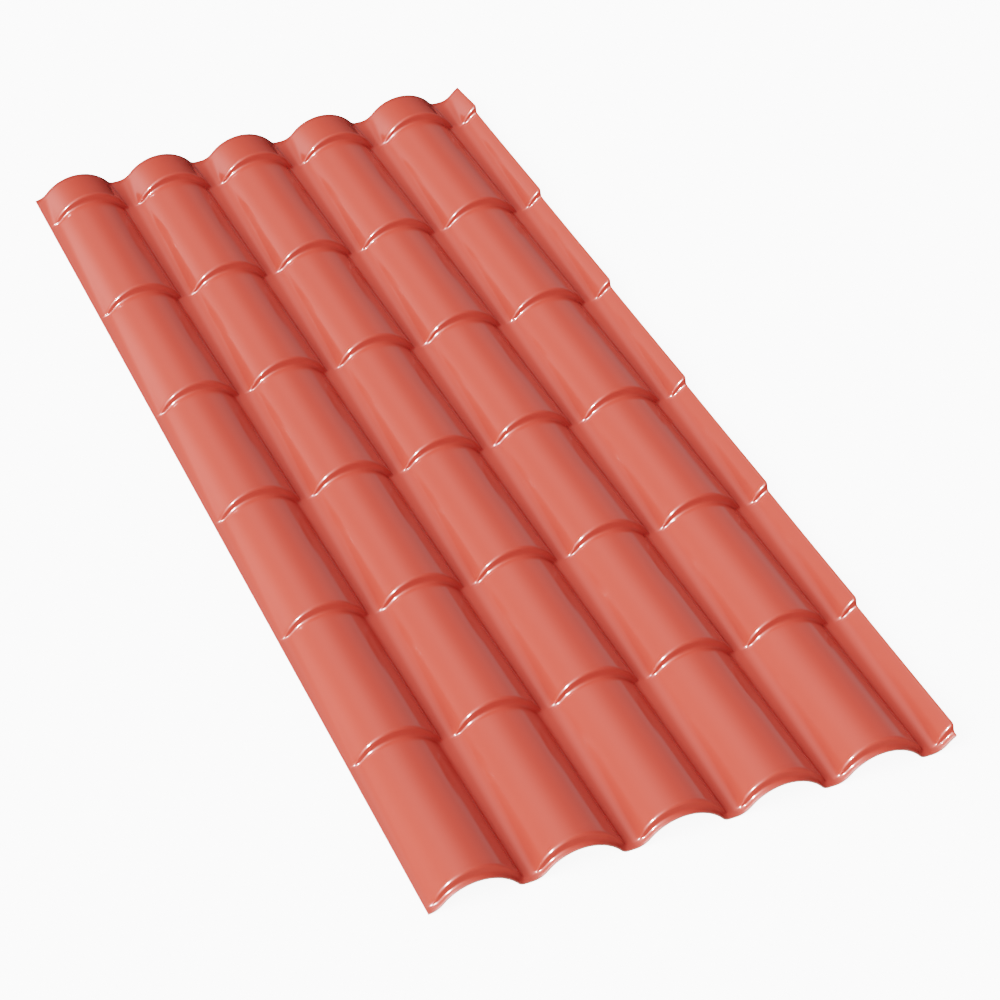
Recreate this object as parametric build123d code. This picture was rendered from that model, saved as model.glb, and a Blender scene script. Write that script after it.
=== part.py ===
from build123d import *
import math
import os

os.makedirs("parts", exist_ok=True)

# Waves across the sheet, in millimetres
pitch = 168.0
arches = 5
wall = 2.5
valley_flat = 10.0
low_arch = 36.5
step_height = 14.0
left_foot_radius = 34.0
left_foot_tight = 16.0
right_foot_radius = 24.0
right_foot_tight = 8.0
left_cut = 3.0
right_leg = 43.0

# Rows of tiles down the sheet, each surface of a tile in equal parts along its length
tile_length = 328.0
tile_rows = 6
tile_parts = 2
head_length = 100.0
lip_length = 12.0

# Slope of the riser where one row of tiles ends over the next
riser_angle = math.radians(80.0)

half_flat = valley_flat / 2
length = head_length + tile_rows * tile_length + lip_length
left_x = left_cut
right_x = arches * pitch + right_leg
middle_x = (left_x + right_x) / 2


def spot(x, s, z):
    """Point across x, down the slope s and up z, in the sheet's own frame."""
    return Vector(x - middle_x, length / 2 - s, z)


def arch_arcs(start, growth, depth):
    """Foot, crest and foot arc of one arch as centre, radius, first and last angle.

    All three arcs meet on a common tangent; depth is how far the skin lies inside the wall."""
    rise = low_arch + growth * step_height
    left_foot = left_foot_radius + growth * (left_foot_tight - left_foot_radius)
    right_foot = right_foot_radius + growth * (right_foot_tight - right_foot_radius)
    left = start + half_flat
    right = start + pitch - half_flat
    span = right - left
    left_span = span / 2 + rise * (left_foot - right_foot) / span
    crest = (left_span**2 + rise**2) / (2 * rise) - left_foot
    up = math.atan2(left_span, crest + left_foot - rise)
    down = math.atan2(span - left_span, crest + right_foot - rise)
    quarter = math.pi / 2
    return [
        (left, wall + left_foot, left_foot + depth, -quarter, up - quarter),
        (left + left_span, wall + rise - crest, crest - depth, quarter + up, quarter - down),
        (right, wall + right_foot, right_foot + depth, -quarter - down, -quarter),
    ]


def arc_edge(arc, s, last=None):
    """One arc of the section at s, cut off at a later angle if one is given."""
    x, z, radius, a, b = arc
    if last is not None:
        b = last
    points = []
    for angle in (a, (a + b) / 2, b):
        points.append(spot(x + radius * math.cos(angle), s, z + radius * math.sin(angle)))
    return Edge.make_three_point_arc(*points)


def section(s, growth, depth):
    """Arcs of the whole section, left to right, ending on the cut right edge."""
    edges = []
    for n in range(arches):
        for arc in arch_arcs(n * pitch, growth, depth):
            edges.append(arc_edge(arc, s))
    foot, crest = arch_arcs(arches * pitch, growth, depth)[:2]
    edges.append(arc_edge(foot, s))
    edges.append(arc_edge(crest, s, math.acos((right_x - crest[0]) / crest[2])))
    return edges


def fold(depth):
    """Edge and crease of one fold as distance past the step line and growth left."""
    back = depth * math.tan(riser_angle / 2)
    return [(-back, 1.0), (step_height / math.tan(riser_angle) - back, 0.0)]


def skin_stations(depth):
    """All stations of one skin from the head to the lip, as distance and growth."""
    stations = [(0.0, 0.0)]
    for n in range(tile_rows + 1):
        step = head_length + n * tile_length
        steps = [(step + s, growth) for s, growth in fold(depth)]
        tile_start, tile_end = stations[-1][0], steps[0][0]
        for part in range(1, tile_parts):
            share = part / tile_parts
            stations.append((tile_start + share * (tile_end - tile_start), share))
        stations += steps
    stations.append((length, 0.0))
    return stations


def skin(depth):
    """Faces of one skin and its outline edges: head, lip and the right cut line."""
    stations = skin_stations(depth)
    chains = [section(s, growth, depth) for s, growth in stations]
    faces = []
    for first, second in zip(chains, chains[1:]):
        for a, b in zip(first, second):
            faces.append(Face.make_surface_from_curves(a, b))
    return faces, stations, chains


def long_line(points):
    """Straight edges through a row of points."""
    return [Edge.make_line(a, b) for a, b in zip(points, points[1:])]


def valley_faces(stations, z):
    """The flat floor of every valley, each one plane from head to lip."""
    faces = []
    for n in range(arches + 1):
        near = n * pitch - half_flat if n else left_x
        far = n * pitch + half_flat
        right_side = [spot(far, s, z) for s, growth in stations]
        left_side = [spot(near, s, z) for s, growth in stations]
        if n == 0:
            left_side = [left_side[0], left_side[-1]]
        edges = long_line(right_side) + long_line(left_side)
        edges += long_line([left_side[0], right_side[0]])
        edges += long_line([left_side[-1], right_side[-1]])
        faces.append(Face(Wire(edges)))
    return faces


def end_face(upper, lower, s):
    """Cut face across the sheet at s."""
    edges = list(upper) + list(lower)
    for z in (wall, 0.0):
        for n in range(arches + 1):
            near = n * pitch - half_flat if n else left_x
            edges.append(Edge.make_line(spot(near, s, z), spot(n * pitch + half_flat, s, z)))
    edges.append(Edge.make_line(spot(left_x, s, 0.0), spot(left_x, s, wall)))
    edges.append(Edge.make_line(upper[-1] @ 1, lower[-1] @ 1))
    return Face(Wire(edges))


outer_faces, outer_stations, outer_chains = skin(0.0)
inner_faces, inner_stations, inner_chains = skin(wall)

faces = outer_faces + inner_faces
faces += valley_faces(outer_stations, wall)
faces += valley_faces(inner_stations, 0.0)
faces.append(end_face(outer_chains[0], inner_chains[0], 0.0))
faces.append(end_face(outer_chains[-1], inner_chains[-1], length))

# Cut faces along the two long sides
left_corners = [spot(left_x, s, z) for s, z in ((0.0, 0.0), (0.0, wall), (length, wall), (length, 0.0))]
faces.append(Face(Wire(long_line(left_corners + left_corners[:1]))))
upper_line = [chain[-1] @ 1 for chain in outer_chains]
lower_line = [chain[-1] @ 1 for chain in inner_chains]
right_outline = upper_line + lower_line[::-1] + upper_line[:1]
faces.append(Face(Wire(long_line(right_outline))))

roofing_sheet = Solid(Shell(faces))
roofing_sheet.label = "roofing_sheet"
export_step(roofing_sheet, "parts/roofing_sheet.step")
print("sheet", round(right_x - left_x, 1), "by", round(length, 1), "faces", len(faces))
print("valid", roofing_sheet.is_valid, "volume", round(roofing_sheet.volume))
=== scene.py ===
import math
import bpy
from mathutils import Vector, Matrix, noise


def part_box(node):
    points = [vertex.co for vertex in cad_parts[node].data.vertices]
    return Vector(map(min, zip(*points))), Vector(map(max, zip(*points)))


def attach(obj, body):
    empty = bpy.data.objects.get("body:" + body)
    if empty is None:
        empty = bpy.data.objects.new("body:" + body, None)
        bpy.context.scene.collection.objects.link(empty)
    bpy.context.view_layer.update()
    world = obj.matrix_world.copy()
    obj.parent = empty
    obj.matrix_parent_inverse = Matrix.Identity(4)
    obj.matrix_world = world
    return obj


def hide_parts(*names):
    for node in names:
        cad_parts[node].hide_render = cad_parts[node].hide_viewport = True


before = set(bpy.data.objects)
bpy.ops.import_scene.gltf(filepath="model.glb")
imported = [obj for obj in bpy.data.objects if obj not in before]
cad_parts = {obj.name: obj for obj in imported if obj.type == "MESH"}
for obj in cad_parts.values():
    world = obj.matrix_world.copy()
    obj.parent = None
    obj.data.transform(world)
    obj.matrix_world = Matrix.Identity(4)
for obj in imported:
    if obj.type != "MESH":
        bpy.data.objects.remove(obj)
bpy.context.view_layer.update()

cadLow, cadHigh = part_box("roofing_sheet")

# Formed sheet, in metres. The pairs run from the head of a tile to the step at its foot.
sheet = {
    "pitch": 0.168,
    "arches": 5,
    "wall": 0.0025,
    "toeLeft": 0.0015,  # from a valley's centre line to the foot of the arch on its right
    "toeRight": (0.009, 0.005),  # and to the foot of the arch on its left
    "archHeight": (0.0365, 0.0505),
    "leftFoot": (0.034, 0.016),
    "rightFoot": (0.012, 0.005),
    "leftCut": 0.003,
    "tile": 0.328,
    "rows": 6,
    "head": 0.100,
    "edgeRadius": 0.005,
    "creaseRadius": 0.005,
    "riserAngle": math.radians(80),
    "footSteps": 8,
    "crestSteps": 22,
    "legSteps": 6,
    "tileSteps": 7,
    "guard": 0.003,  # short face beside each fold, keeps the shading of the tiles clean
    "edgeSteps": 6,
    "creaseSteps": 5,
    "cutChamfer": 0.0004,
    "chamferFrom": math.radians(60),
}

# Shallow dents from cooling on the former, as broad ones with smaller ones on top
dents = {
    "depth": 0.00025,
    "most": 1.4,
    "bias": 0.5,
    "broad": (0.09, 0.198, 3.1),  # length across, length down the sheet, layer of the noise
    "small": (0.0315, 0.081, 7.7),
    "smallShare": 0.35,
    "fade": 0.012,  # they fade out this far from the cut edges
}

sheetLength = cadHigh.y - cadLow.y
xStart = cadLow.x - sheet["leftCut"]
wall = sheet["wall"]
samePoint = 1e-7
weatherSlot, undersideSlot, cutSlot = range(3)  # in the order of the finishes


def between(pair, growth):
    return pair[0] + (pair[1] - pair[0]) * growth


# Foot, crest and foot of one arch on common tangents: centre, radius, end angles and steps
def archArcs(start, growth, depth):
    rise = between(sheet["archHeight"], growth)
    leftFoot = between(sheet["leftFoot"], growth)
    rightFoot = between(sheet["rightFoot"], growth)
    left = start + sheet["toeLeft"]
    right = start + sheet["pitch"] - between(sheet["toeRight"], growth)
    span = right - left
    leftSpan = span / 2 + rise * (leftFoot - rightFoot) / span
    crest = (leftSpan ** 2 + rise ** 2) / (2 * rise) - leftFoot
    up = math.atan2(leftSpan, crest + leftFoot - rise)
    down = math.atan2(span - leftSpan, crest + rightFoot - rise)
    quarter = math.pi / 2
    return [
        (left, wall + leftFoot, leftFoot + depth, -quarter, up - quarter, sheet["footSteps"]),
        (left + leftSpan, wall + rise - crest, crest - depth, quarter + up, quarter - down,
         sheet["crestSteps"]),
        (right, wall + rightFoot, rightFoot + depth, -quarter - down, -quarter,
         sheet["footSteps"]),
    ]


def arcPoints(arc, firstAngle=None, lastAngle=None, steps=None):
    x, z, radius, first, last, count = arc
    if firstAngle is not None:
        first = firstAngle
    if lastAngle is not None:
        last, count = lastAngle, steps
    points = []
    for i in range(count + 1):
        angle = first + (last - first) * i / count
        points.append((x + radius * math.cos(angle), z + radius * math.sin(angle)))
    return points


# Cross-section points from the left cut edge to the right one
def sectionPoints(growth, depth):
    points = []
    for n in range(sheet["arches"]):
        for arc in archArcs(xStart + n * sheet["pitch"], growth, depth):
            leftCutAngle = None if points else -math.acos((cadLow.x - arc[0]) / arc[2])
            points += arcPoints(arc, leftCutAngle)
    foot, crest = archArcs(xStart + sheet["arches"] * sheet["pitch"], growth, depth)[:2]
    points += arcPoints(foot)
    rightCutAngle = math.acos((cadHigh.x - crest[0]) / crest[2])
    points += arcPoints(crest, None, rightCutAngle, sheet["legSteps"])
    clean = [points[0]]
    for point in points[1:]:
        if math.dist(point, clean[-1]) > samePoint:
            clean.append(point)
    return clean


# One fold as distance past the step line and growth left: edge, steep riser, crease
def foldStations(depth):
    drop = sheet["archHeight"][1] - sheet["archHeight"][0]
    steep = sheet["riserAngle"]
    edgeStart = -sheet["edgeRadius"] * math.tan(steep / 2)
    creaseEnd = drop / math.tan(steep) + sheet["creaseRadius"] * math.tan(steep / 2)
    outer = sheet["edgeRadius"] - depth
    inner = sheet["creaseRadius"] + depth
    stations = []
    for i in range(sheet["edgeSteps"] + 1):
        angle = steep * i / sheet["edgeSteps"]
        fall = outer * (1 - math.cos(angle))
        stations.append((edgeStart + outer * math.sin(angle), 1 - fall / drop))
    for i in range(sheet["creaseSteps"] + 1):
        angle = steep * (1 - i / sheet["creaseSteps"])
        left = inner * (1 - math.cos(angle))
        stations.append((creaseEnd - inner * math.sin(angle), left / drop))
    return stations


# Stations from head to lip for one skin
def skinStations(depth):
    stations = [(0.0, 0.0)]
    for n in range(sheet["rows"] + 1):
        step = sheet["head"] + n * sheet["tile"]
        startAt, startGrowth = stations[-1]
        fold = foldStations(depth)
        endAt = step + fold[0][0]
        guard = sheet["guard"] / (endAt - startAt)
        shares = [i / sheet["tileSteps"] for i in range(1, sheet["tileSteps"])]
        if n:
            shares.insert(0, guard)
        for t in shares + [1 - guard]:
            growth = startGrowth + (1 - startGrowth) * t
            stations.append((startAt + (endAt - startAt) * t, growth))
        stations += [(step + s, growth) for s, growth in fold]
    stations.append((sheetLength, 0.0))
    return stations


def skinGrid(depth):
    grid = []
    for s, growth in skinStations(depth):
        grid.append([(x, cadHigh.y - s, z) for x, z in sectionPoints(growth, depth)])
    return grid


def dentNoise(x, y, size):
    across, down, layer = size
    return noise.noise(Vector((x / across, y / down, layer)))


# Moves the weather skin a little into the wall, never out of it
def dented(grid):
    rows = []
    for line in grid:
        row = []
        for i, (x, y, z) in enumerate(line):
            a = line[max(i - 1, 0)]
            b = line[min(i + 1, len(line) - 1)]
            run = Vector((b[0] - a[0], b[2] - a[2])).normalized()
            dip = dentNoise(x, y, dents["broad"]) + dents["bias"]
            dip += dents["smallShare"] * dentNoise(x, y, dents["small"])
            toCut = min(x - cadLow.x, cadHigh.x - x, y - cadLow.y, cadHigh.y - y)
            clear = min(toCut / dents["fade"], 1.0)
            dip = dents["depth"] * min(max(dip, 0.0), dents["most"]) * clear
            row.append((x + run.y * dip, y, z - run.x * dip))
        rows.append(row)
    return rows


def buildSheet():
    outer = dented(skinGrid(0.0))
    inner = skinGrid(wall)
    rows, cols = len(outer), len(outer[0])
    points = [p for line in outer for p in line] + [p for line in inner for p in line]
    under = rows * cols

    def at(j, i):
        return j * cols + i

    faces, slots = [], []
    for j in range(rows - 1):
        for i in range(cols - 1):
            faces.append((at(j, i), at(j + 1, i), at(j + 1, i + 1), at(j, i + 1)))
            slots.append(weatherSlot)
            below = (at(j, i), at(j, i + 1), at(j + 1, i + 1), at(j + 1, i))
            faces.append(tuple(under + v for v in below))
            slots.append(undersideSlot)
    for i in range(cols - 1):
        faces.append((at(0, i), at(0, i + 1), under + at(0, i + 1), under + at(0, i)))
        last = rows - 1
        faces.append((at(last, i + 1), at(last, i), under + at(last, i), under + at(last, i + 1)))
        slots += [cutSlot, cutSlot]
    for j in range(rows - 1):
        side = cols - 1
        faces.append((at(j + 1, 0), at(j, 0), under + at(j, 0), under + at(j + 1, 0)))
        faces.append((at(j, side), at(j + 1, side), under + at(j + 1, side), under + at(j, side)))
        slots += [cutSlot, cutSlot]
    mesh = bpy.data.meshes.new("formedSheet")
    mesh.from_pydata(points, [], faces)
    for polygon, slot in zip(mesh.polygons, slots):
        polygon.material_index = slot
        polygon.use_smooth = slot != cutSlot
    mesh.update()
    piece = bpy.data.objects.new("formedSheet", mesh)
    bpy.context.scene.collection.objects.link(piece)
    return piece


# Thin chamfer on the cut edges, inside the CAD box
def easeCuts(piece):
    ease = piece.modifiers.new("easedCuts", "BEVEL")
    ease.width = sheet["cutChamfer"]
    ease.segments = 1
    ease.limit_method = "ANGLE"
    ease.angle_limit = sheet["chamferFrom"]
    ease.material = cutSlot
    graph = bpy.context.evaluated_depsgraph_get()
    eased = bpy.data.meshes.new_from_object(piece.evaluated_get(graph))
    piece.modifiers.clear()
    piece.data = eased
    for polygon in eased.polygons:
        polygon.use_smooth = polygon.material_index != cutSlot


def newMaterial(name):
    material = bpy.data.materials.new(name)
    material.use_nodes = True
    nodes, links = material.node_tree.nodes, material.node_tree.links
    return material, nodes, links, nodes["Principled BSDF"]


def newGroup(name, inputs, outputs):
    group = bpy.data.node_groups.new(name, "ShaderNodeTree")
    for label, kind, value in inputs:
        socket = group.interface.new_socket(name=label, in_out="INPUT", socket_type=kind)
        if value is not None:
            socket.default_value = value
    for label, kind in outputs:
        group.interface.new_socket(name=label, in_out="OUTPUT", socket_type=kind)
    return group, group.nodes.new("NodeGroupInput"), group.nodes.new("NodeGroupOutput")


# Noise patterns of the plastic. A small "along" draws a pattern out down the sheet.
patterns = {
    "drift": {"scale": 3.2, "detail": 3, "rough": 0.5, "along": 1.0},
    "drawColor": {"scale": 90, "detail": 4, "rough": 0.6, "along": 0.02},
    "grain": {"scale": 1400, "detail": 2, "rough": 0.5, "along": 1.0},
    "ripple": {"scale": 14, "detail": 2, "rough": 0.5, "along": 0.45},
    "drawRelief": {"scale": 160, "detail": 3, "rough": 0.6, "along": 0.015},
    "peel": {"scale": 420, "detail": 2, "rough": 0.5, "along": 1.0},
    "cloud": {"scale": 7, "detail": 5, "rough": 0.6, "along": 1.0},
    "scuff": {"scale": 240, "detail": 3, "rough": 0.7, "along": 0.12},
}


def addPattern(nodes, links, vector, name):
    values = patterns[name]
    mapping = nodes.new("ShaderNodeMapping")
    mapping.inputs["Scale"].default_value = (1.0, values["along"], 1.0)
    links.new(vector, mapping.inputs["Vector"])
    pattern = nodes.new("ShaderNodeTexNoise")
    pattern.inputs["Scale"].default_value = values["scale"]
    pattern.inputs["Detail"].default_value = values["detail"]
    pattern.inputs["Roughness"].default_value = values["rough"]
    links.new(mapping.outputs["Vector"], pattern.inputs["Vector"])
    return pattern.outputs["Fac"]


def addMath(nodes, links, operation, a, b=None, c=None):
    step = nodes.new("ShaderNodeMath")
    step.operation = operation
    for slot, value in enumerate((a, b, c)):
        if isinstance(value, (int, float)):
            step.inputs[slot].default_value = value
        elif value is not None:
            links.new(value, step.inputs[slot])
    return step.outputs[0]


# Colour of the plastic: cloudy drift, faint draw lines down the sheet and fine pigment grain
def makePigment():
    group, start, end = newGroup("pigment", [
        ("Vector", "NodeSocketVector", None),
        ("Color", "NodeSocketColor", (0.5, 0.1, 0.05, 1)),
        ("Deep Color", "NodeSocketColor", (0.4, 0.08, 0.04, 1)),
        ("Drift", "NodeSocketFloat", 0.5),
        ("Draw Lines", "NodeSocketFloat", 0.2),
        ("Grain", "NodeSocketFloat", 0.1),
    ], [("Color", "NodeSocketColor")])
    nodes, links = group.nodes, group.links
    vector = start.outputs["Vector"]
    drift = addPattern(nodes, links, vector, "drift")
    lines = addPattern(nodes, links, vector, "drawColor")
    grain = addPattern(nodes, links, vector, "grain")
    total = addMath(nodes, links, "MULTIPLY", drift, start.outputs["Drift"])
    total = addMath(nodes, links, "MULTIPLY_ADD", lines, start.outputs["Draw Lines"], total)
    total = addMath(nodes, links, "MULTIPLY_ADD", grain, start.outputs["Grain"], total)
    mix = nodes.new("ShaderNodeMix")
    mix.data_type = "RGBA"
    mix.clamp_factor = True
    links.new(total, mix.inputs["Factor"])
    links.new(start.outputs["Color"], mix.inputs["A"])
    links.new(start.outputs["Deep Color"], mix.inputs["B"])
    links.new(mix.outputs["Result"], end.inputs["Color"])
    return group


# Relief left by forming: broad ripple, draw lines down the sheet and orange peel, as a height
def makeFormingMarks():
    group, start, end = newGroup("formingMarks", [
        ("Vector", "NodeSocketVector", None),
        ("Ripple", "NodeSocketFloat", 0.5),
        ("Draw Lines", "NodeSocketFloat", 0.3),
        ("Peel", "NodeSocketFloat", 0.2),
    ], [("Height", "NodeSocketFloat")])
    nodes, links = group.nodes, group.links
    vector = start.outputs["Vector"]
    ripple = addPattern(nodes, links, vector, "ripple")
    lines = addPattern(nodes, links, vector, "drawRelief")
    peel = addPattern(nodes, links, vector, "peel")
    height = addMath(nodes, links, "MULTIPLY", ripple, start.outputs["Ripple"])
    height = addMath(nodes, links, "MULTIPLY_ADD", lines, start.outputs["Draw Lines"], height)
    height = addMath(nodes, links, "MULTIPLY_ADD", peel, start.outputs["Peel"], height)
    links.new(height, end.inputs["Height"])
    return group


hazeFrom, hazeTo = 0.35, 0.95  # levels of the noise that are clear and dull


# Roughness that wanders between two values with handling haze and fine scuffs
def makeHaze():
    group, start, end = newGroup("haze", [
        ("Vector", "NodeSocketVector", None),
        ("Clear", "NodeSocketFloat", 0.15),
        ("Dull", "NodeSocketFloat", 0.3),
        ("Scuffs", "NodeSocketFloat", 0.2),
    ], [("Roughness", "NodeSocketFloat")])
    nodes, links = group.nodes, group.links
    vector = start.outputs["Vector"]
    cloud = addPattern(nodes, links, vector, "cloud")
    scuff = addPattern(nodes, links, vector, "scuff")
    level = addMath(nodes, links, "MULTIPLY_ADD", scuff, start.outputs["Scuffs"], cloud)
    spread = nodes.new("ShaderNodeMapRange")
    spread.inputs["From Min"].default_value = hazeFrom
    spread.inputs["From Max"].default_value = hazeTo
    links.new(level, spread.inputs["Value"])
    links.new(start.outputs["Clear"], spread.inputs["To Min"])
    links.new(start.outputs["Dull"], spread.inputs["To Max"])
    links.new(spread.outputs["Result"], end.inputs["Roughness"])
    return group


pigment, formingMarks, haze = makePigment(), makeFormingMarks(), makeHaze()

plasticIor = 1.5

# Terracotta red plastic: high gloss on the weather side, satin below, matt on the cut edges.
# Each finish holds the values of its three shader groups.
finishes = {
    "weatherGloss": {
        "pigment": {
            "Color": (0.38, 0.0465, 0.0325, 1),
            "Deep Color": (0.345, 0.041, 0.0285, 1),
            "Drift": 0.5, "Draw Lines": 0.25, "Grain": 0.2,
        },
        "marks": {"Ripple": 1.0, "Draw Lines": 0.10, "Peel": 0.015},
        "haze": {"Clear": 0.09, "Dull": 0.17, "Scuffs": 0.2},
        "relief": 0.0002,
        "specular": 0.29,
    },
    "undersideSatin": {
        "pigment": {
            "Color": (0.34, 0.060, 0.034, 1),
            "Deep Color": (0.27, 0.045, 0.026, 1),
            "Drift": 0.6, "Draw Lines": 0.4, "Grain": 0.3,
        },
        "marks": {"Ripple": 0.7, "Draw Lines": 0.3, "Peel": 0.10},
        "haze": {"Clear": 0.36, "Dull": 0.55, "Scuffs": 0.4},
        "relief": 0.0003,
        "specular": 0.29,
    },
    "sawnEdge": {
        "pigment": {
            "Color": (0.38, 0.13, 0.10, 1),
            "Deep Color": (0.20, 0.07, 0.05, 1),
            "Drift": 0.3, "Draw Lines": 0.2, "Grain": 0.7,
        },
        "marks": {"Ripple": 0.0, "Draw Lines": 0.2, "Peel": 1.0},
        "haze": {"Clear": 0.5, "Dull": 0.75, "Scuffs": 0.6},
        "relief": 0.0002,
        "specular": 0.29,
    },
}


def placeGroup(nodes, links, group, coords, values):
    node = nodes.new("ShaderNodeGroup")
    node.node_tree = group
    links.new(coords, node.inputs["Vector"])
    for label, value in values.items():
        node.inputs[label].default_value = value
    return node


def makePlastic(name):
    values = finishes[name]
    material, nodes, links, shader = newMaterial(name)
    coords = nodes.new("ShaderNodeTexCoord").outputs["Object"]
    color = placeGroup(nodes, links, pigment, coords, values["pigment"])
    marks = placeGroup(nodes, links, formingMarks, coords, values["marks"])
    surface = placeGroup(nodes, links, haze, coords, values["haze"])
    bump = nodes.new("ShaderNodeBump")
    bump.inputs["Distance"].default_value = values["relief"]
    links.new(marks.outputs["Height"], bump.inputs["Height"])
    links.new(color.outputs["Color"], shader.inputs["Base Color"])
    links.new(surface.outputs["Roughness"], shader.inputs["Roughness"])
    links.new(bump.outputs["Normal"], shader.inputs["Normal"])
    shader.inputs["IOR"].default_value = plasticIor
    shader.inputs["Specular IOR Level"].default_value = values["specular"]
    return material


formedSheet = buildSheet()
for name in finishes:
    formedSheet.data.materials.append(makePlastic(name))
easeCuts(formedSheet)
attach(formedSheet, "root")
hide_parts("roofing_sheet")
print("sheet formed with", len(formedSheet.data.polygons), "faces")

# Pale floor, with a glow that only the camera sees, so that shadows stay light
ground = {
    "reach": 40.0,
    "below": 0.0005,
    "color": (0.85, 0.85, 0.85),
    "glow": (4.4, 4.4, 4.4),
    "roughness": 0.9,
    "specular": 0.1,
}


def addFloor():
    mesh = bpy.data.meshes.new("floor")
    reach, level = ground["reach"], -ground["below"]
    corners = [(-reach, -reach, level), (reach, -reach, level)]
    corners += [(reach, reach, level), (-reach, reach, level)]
    mesh.from_pydata(corners, [], [(0, 1, 2, 3)])
    floor = bpy.data.objects.new("floor", mesh)
    bpy.context.scene.collection.objects.link(floor)
    material, nodes, links, shader = newMaterial("paleFloor")
    shader.inputs["Base Color"].default_value = (*ground["color"], 1)
    shader.inputs["Roughness"].default_value = ground["roughness"]
    shader.inputs["Specular IOR Level"].default_value = ground["specular"]
    shader.inputs["Emission Color"].default_value = (*ground["glow"], 1)
    cameraRay = nodes.new("ShaderNodeLightPath").outputs["Is Camera Ray"]
    links.new(cameraRay, shader.inputs["Emission Strength"])
    mesh.materials.append(material)
    floor.visible_glossy = False  # the gloss mirrors the dark below the horizon instead


addFloor()

# Light: wide soft patches of sky as azimuth, elevation and strength, azimuth from +X towards +Y
light = {
    "color": (1.0, 0.99, 0.98),
    "focus": 24.0,  # the higher, the smaller each patch
    "power": 1.66,
    "ambient": 0.02,
    "backdrop": 5.5,
    "patches": {
        "left": (180, 45, 6.7),
        "frontLeft": (-138, 47, 4.0),
        "frontLeftLow": (-148, 28, 3.6),
        "leftLow": (-165, 28, 3.3),
        "leftBackLow": (165, 28, 3.2),
        "leftBack": (140, 50, 2.7),
        "overheadLeft": (-160, 70, 0.9),
        "overheadBack": (95, 72, 0.7),
        "front": (-122, 24, 1.5),
        "horizonBack": (120, 5, 1.0),
        "back": (90, 52, 0.5),
        "horizonRight": (0, 5, 0.3),
        "horizonRightBack": (30, 5, 0.35),
        "right": (0, 28, 0.1),
        "horizonFront": (-120, 5, 0.3),
    },
    "panelFocus": 45.0,
    "panels": {
        "panelBack": (103, 37, 0.45),
        "panelBackRight": (58, 24, 0.3),
        "panelHorizon": (47, 8, 0.25),
    },
}


def makeSoftPatch():
    group, start, end = newGroup("softPatch", [
        ("Heading", "NodeSocketVector", None),
        ("Direction", "NodeSocketVector", (0, 0, 1)),
        ("Focus", "NodeSocketFloat", 20.0),
        ("Strength", "NodeSocketFloat", 1.0),
    ], [("Strength", "NodeSocketFloat")])
    nodes, links = group.nodes, group.links
    facing = nodes.new("ShaderNodeVectorMath")
    facing.operation = "DOT_PRODUCT"
    links.new(start.outputs["Heading"], facing.inputs[0])
    links.new(start.outputs["Direction"], facing.inputs[1])
    glow = addMath(nodes, links, "MAXIMUM", facing.outputs["Value"], 0.0)
    glow = addMath(nodes, links, "POWER", glow, start.outputs["Focus"])
    glow = addMath(nodes, links, "MULTIPLY", glow, start.outputs["Strength"])
    links.new(glow, end.inputs["Strength"])
    return group


def heading(azimuth, elevation):
    azimuth, elevation = math.radians(azimuth), math.radians(elevation)
    level = math.cos(elevation)
    return math.cos(azimuth) * level, math.sin(azimuth) * level, math.sin(elevation)


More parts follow.
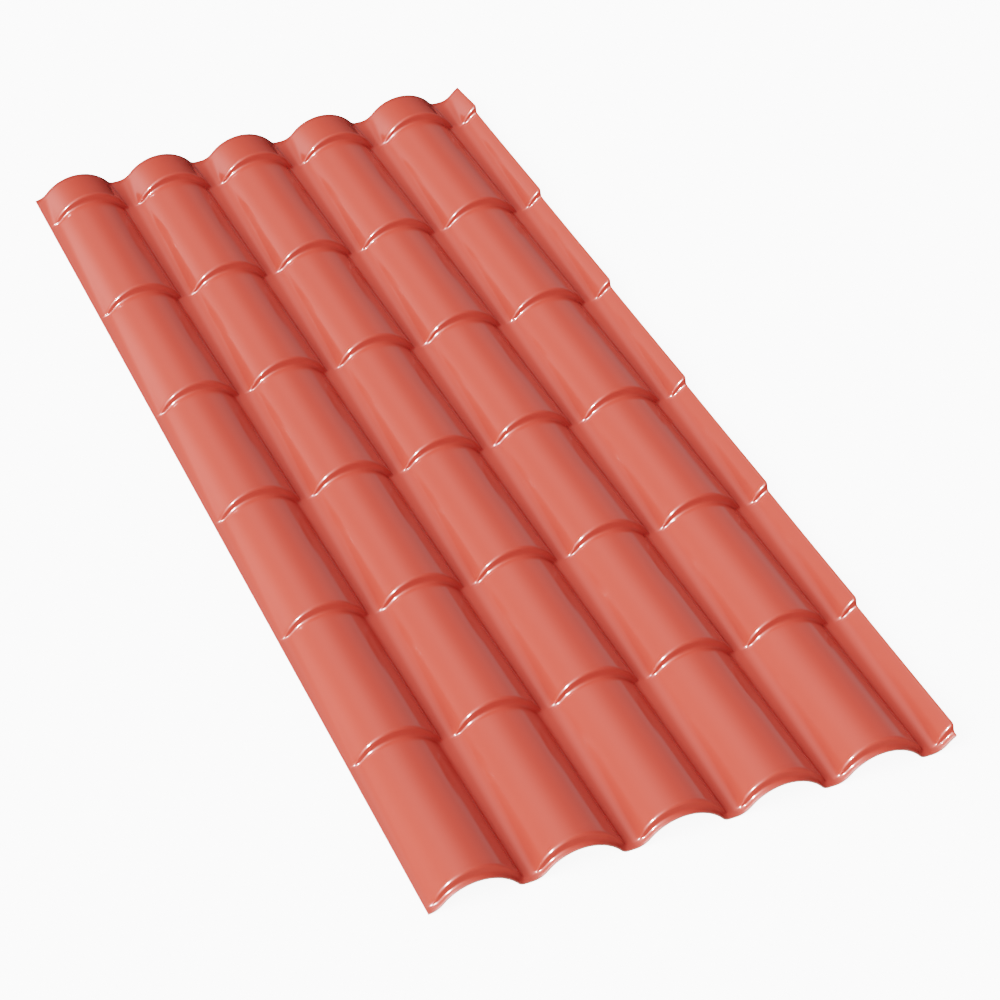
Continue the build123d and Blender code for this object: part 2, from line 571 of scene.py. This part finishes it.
def addSky():
    world = bpy.data.worlds.new("softSky")
    bpy.context.scene.world = world
    world.use_nodes = True
    nodes, links = world.node_tree.nodes, world.node_tree.links
    backdrop = nodes["Background"]
    backdrop.inputs["Color"].default_value = (*light["color"], 1)
    rays = nodes.new("ShaderNodeTexCoord").outputs["Generated"]
    softPatch = makeSoftPatch()
    total = light["ambient"]
    patches = [(patch, light["focus"]) for patch in light["patches"].values()]
    patches += [(panel, light["panelFocus"]) for panel in light["panels"].values()]
    for (azimuth, elevation, strength), focus in patches:
        patch = nodes.new("ShaderNodeGroup")
        patch.node_tree = softPatch
        links.new(rays, patch.inputs["Heading"])
        patch.inputs["Direction"].default_value = heading(azimuth, elevation)
        patch.inputs["Focus"].default_value = focus
        patch.inputs["Strength"].default_value = strength * light["power"]
        total = addMath(nodes, links, "ADD", patch.outputs["Strength"], total)
    seen = nodes.new("ShaderNodeMix")  # the camera sees a plain pale backdrop
    cameraRay = nodes.new("ShaderNodeLightPath").outputs["Is Camera Ray"]
    links.new(cameraRay, seen.inputs["Factor"])
    links.new(total, seen.inputs["A"])
    seen.inputs["B"].default_value = light["backdrop"]
    links.new(seen.outputs["Result"], backdrop.inputs["Strength"])


addSky()


# Lamp for the white glints at the folds
glint = {"direction": (-0.71, -0.38, 0.60), "distance": 9.0, "size": 0.8, "power": 13000}


def addLamp(name, values):
    lamp = bpy.data.lights.new(name, "AREA")
    lamp.shape = "DISK"
    lamp.size = values["size"]
    lamp.energy = values["power"]
    holder = bpy.data.objects.new(name, lamp)
    away = Vector(values["direction"]).normalized()
    holder.location = away * values["distance"]
    holder.rotation_euler = away.to_track_quat("Z", "Y").to_euler()
    holder.visible_diffuse = False  # only the gloss sees it
    bpy.context.scene.collection.objects.link(holder)


addLamp("glintLamp", glint)

# Camera at the photograph's angle
view = {
    "aim": (0.0174, -0.2098, 0.025),
    "azimuth": 21.0,
    "elevation": 38.88,
    "distance": 5.618,
    "roll": -2.2,
    "lens": 119.5,
    "sensor": 36,
    "clipEnd": 200,
}


def addCamera():
    ahead = Vector(heading(90 - view["azimuth"], -view["elevation"]))
    data = bpy.data.cameras.new("camera")
    data.sensor_width = view["sensor"]
    data.lens = view["lens"]
    data.clip_end = view["clipEnd"]
    camera = bpy.data.objects.new("camera", data)
    bpy.context.scene.collection.objects.link(camera)
    roll = Matrix.Rotation(math.radians(view["roll"]), 3, "Z")
    turn = ahead.to_track_quat("-Z", "Y").to_matrix() @ roll
    place = Matrix.Translation(Vector(view["aim"]) - ahead * view["distance"])
    camera.matrix_world = place @ turn.to_4x4()
    bpy.context.scene.camera = camera


addCamera()
display = bpy.context.scene.view_settings
display.view_transform = "Filmic"
display.look = "Medium High Contrast"
print("floor, light and camera placed")
